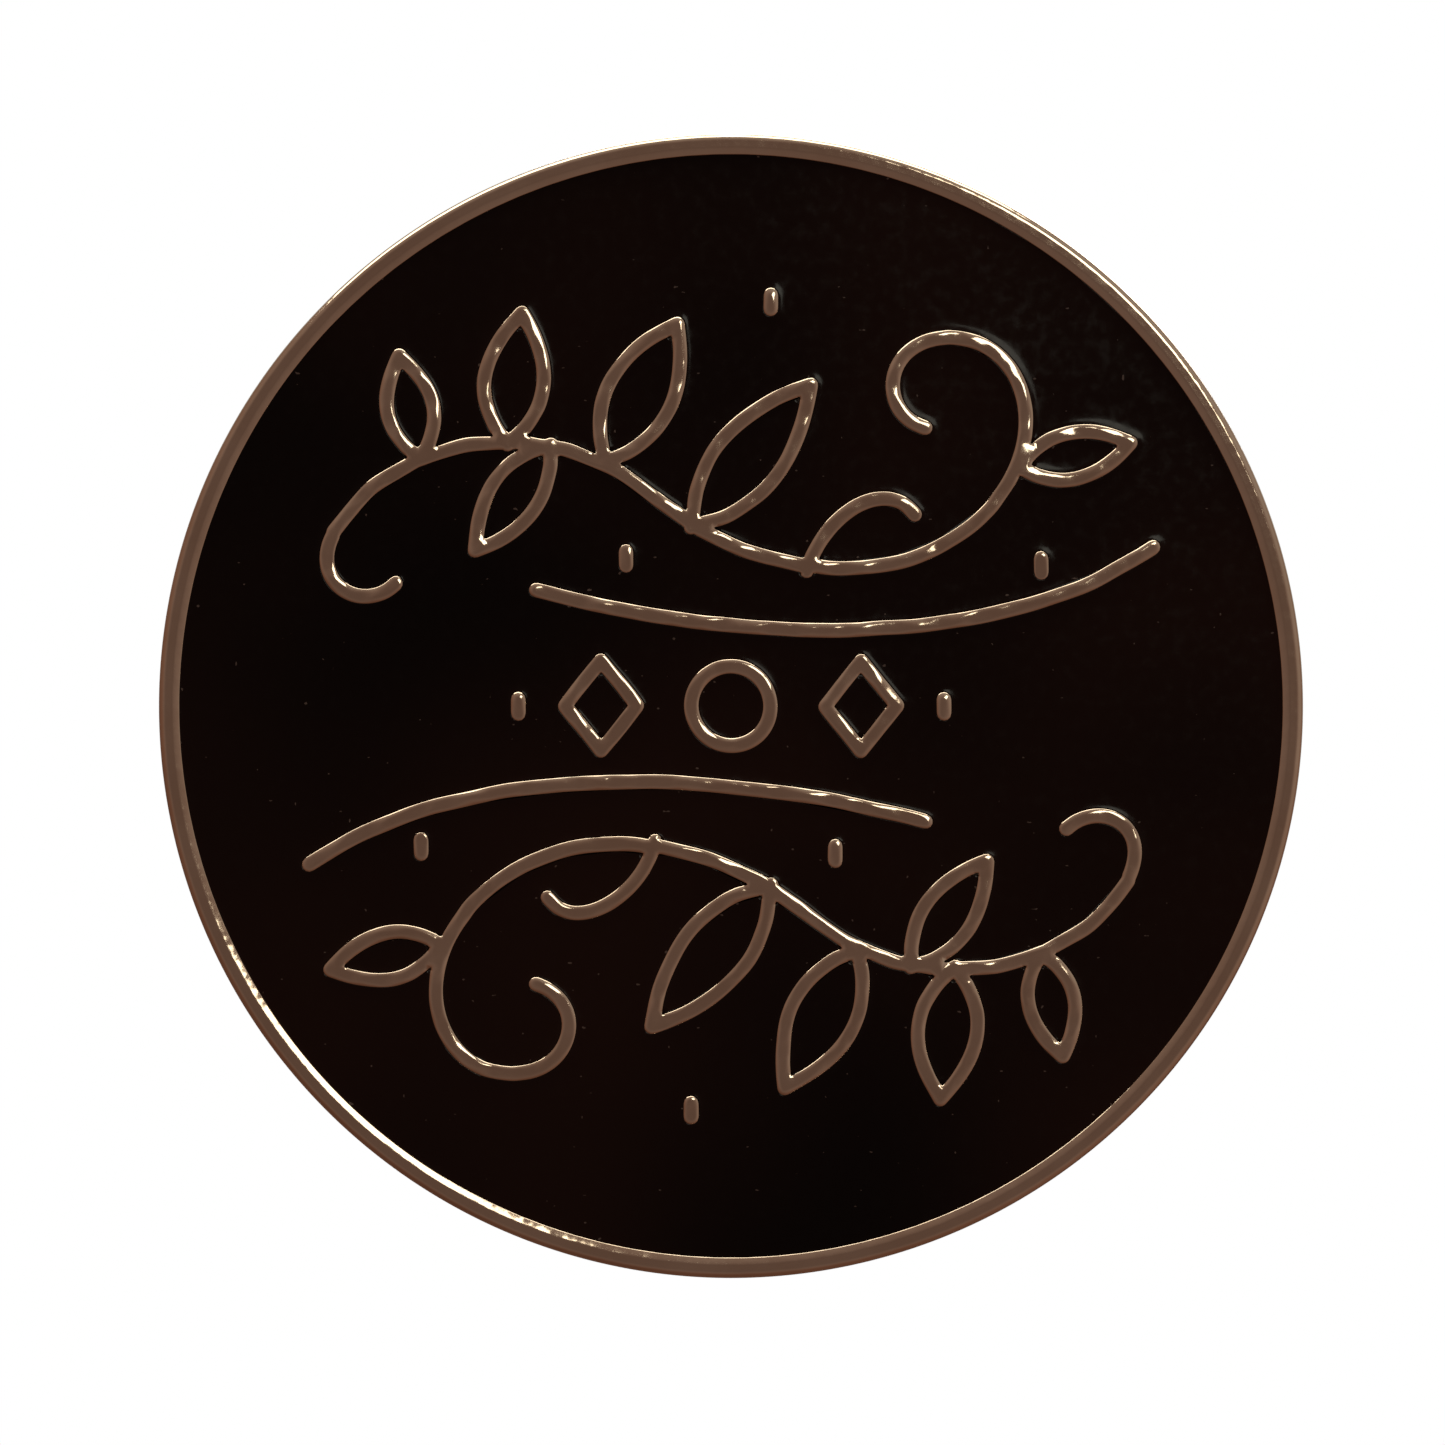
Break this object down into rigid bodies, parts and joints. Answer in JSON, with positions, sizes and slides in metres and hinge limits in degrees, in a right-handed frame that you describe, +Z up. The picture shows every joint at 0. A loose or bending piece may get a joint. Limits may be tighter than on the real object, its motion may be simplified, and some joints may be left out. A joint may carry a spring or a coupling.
{
  "type": "enamel pin",
  "caption": "Round enamel lapel pin, black with a raised copper-gold leaf scroll, on soldered posts held by squeeze-wing butterfly clutches.",
  "frame": {"origin": "centre of the plate's flat back, where it lies on the cloth", "axes": "+Y out of the back, along the posts and into the cloth; +Z up as worn; +X to the right as seen from the front; the face looks along -Y"},
  "size_m": [0.0318, 0.0129, 0.0318],
  "materials": {
    "rose_plating": "polished rose-gold plating over die-struck metal",
    "black_enamel": "glossy warm black soft enamel",
    "solder": "dull silver solder",
    "clutch_brass": "pressed brass sheet, lightly polished",
    "spring_wire": "bright drawn spring wire"
  },
  "bodies": {
    "plate": {"base_plate": "rose_plating", "enamel_field": "black_enamel", "enamel_ring": "black_enamel", "enamel_diamond_left": "black_enamel", "enamel_diamond_right": "black_enamel", "enamel_leaf_top_first": "black_enamel", "enamel_leaf_top_second": "black_enamel", "enamel_leaf_top_third": "black_enamel", "enamel_leaf_top_fourth": "black_enamel", "enamel_leaf_top_under": "black_enamel", "enamel_leaf_top_end": "black_enamel", "enamel_leaf_bottom_first": "black_enamel", "enamel_leaf_bottom_second": "black_enamel", "enamel_leaf_bottom_third": "black_enamel", "enamel_leaf_bottom_fourth": "black_enamel", "enamel_leaf_bottom_under": "black_enamel", "enamel_leaf_bottom_end": "black_enamel", "post_left": "rose_plating", "post_right": "rose_plating", "solder_left": "solder", "solder_right": "solder"},
    "clutch_left": {"clutch_base_left": "clutch_brass", "clutch_cap_left": "clutch_brass", "grip_spring_left": "spring_wire"},
    "wing_lower_left": {"wing_lower_left": "clutch_brass"},
    "wing_upper_left": {"wing_upper_left": "clutch_brass"},
    "clutch_right": {"clutch_base_right": "clutch_brass", "clutch_cap_right": "clutch_brass", "grip_spring_right": "spring_wire"},
    "wing_lower_right": {"wing_lower_right": "clutch_brass"},
    "wing_upper_right": {"wing_upper_right": "clutch_brass"}
  },
  "joints": [
    {"name": "clutch_left_slide", "type": "slide", "parent": "plate", "child": "clutch_left", "axis": [0, 1, 0], "range_m": [-0.0048, 0.0045], "deforming": ["grip_spring_left"]},
    {"name": "wing_lower_left_squeeze", "type": "hinge", "parent": "clutch_left", "child": "wing_lower_left", "pos_m": [-0.007, 0.0069, -0.00335], "axis": [1, 0, 0], "range_deg": [0, 10], "stiffness_Nm_per_rad": 0.02, "deforming": ["grip_spring_left"]},
    {"name": "wing_upper_left_squeeze", "type": "hinge", "parent": "clutch_left", "child": "wing_upper_left", "pos_m": [-0.007, 0.0069, 0.00335], "axis": [-1, 0, 0], "range_deg": [0, 10], "stiffness_Nm_per_rad": 0.02, "deforming": ["grip_spring_left"]},
    {"name": "clutch_right_slide", "type": "slide", "parent": "plate", "child": "clutch_right", "axis": [0, 1, 0], "range_m": [-0.0048, 0.0045], "deforming": ["grip_spring_right"]},
    {"name": "wing_lower_right_squeeze", "type": "hinge", "parent": "clutch_right", "child": "wing_lower_right", "pos_m": [0.007, 0.0069, -0.00335], "axis": [1, 0, 0], "range_deg": [0, 10], "stiffness_Nm_per_rad": 0.02, "deforming": ["grip_spring_right"]},
    {"name": "wing_upper_right_squeeze", "type": "hinge", "parent": "clutch_right", "child": "wing_upper_right", "pos_m": [0.007, 0.0069, 0.00335], "axis": [-1, 0, 0], "range_deg": [0, 10], "stiffness_Nm_per_rad": 0.02, "deforming": ["grip_spring_right"]}
  ],
  "couplings": [
    {"joint": "wing_upper_left_squeeze", "follows": "wing_lower_left_squeeze", "ratio": 1},
    {"joint": "wing_upper_right_squeeze", "follows": "wing_lower_right_squeeze", "ratio": 1}
  ]
}
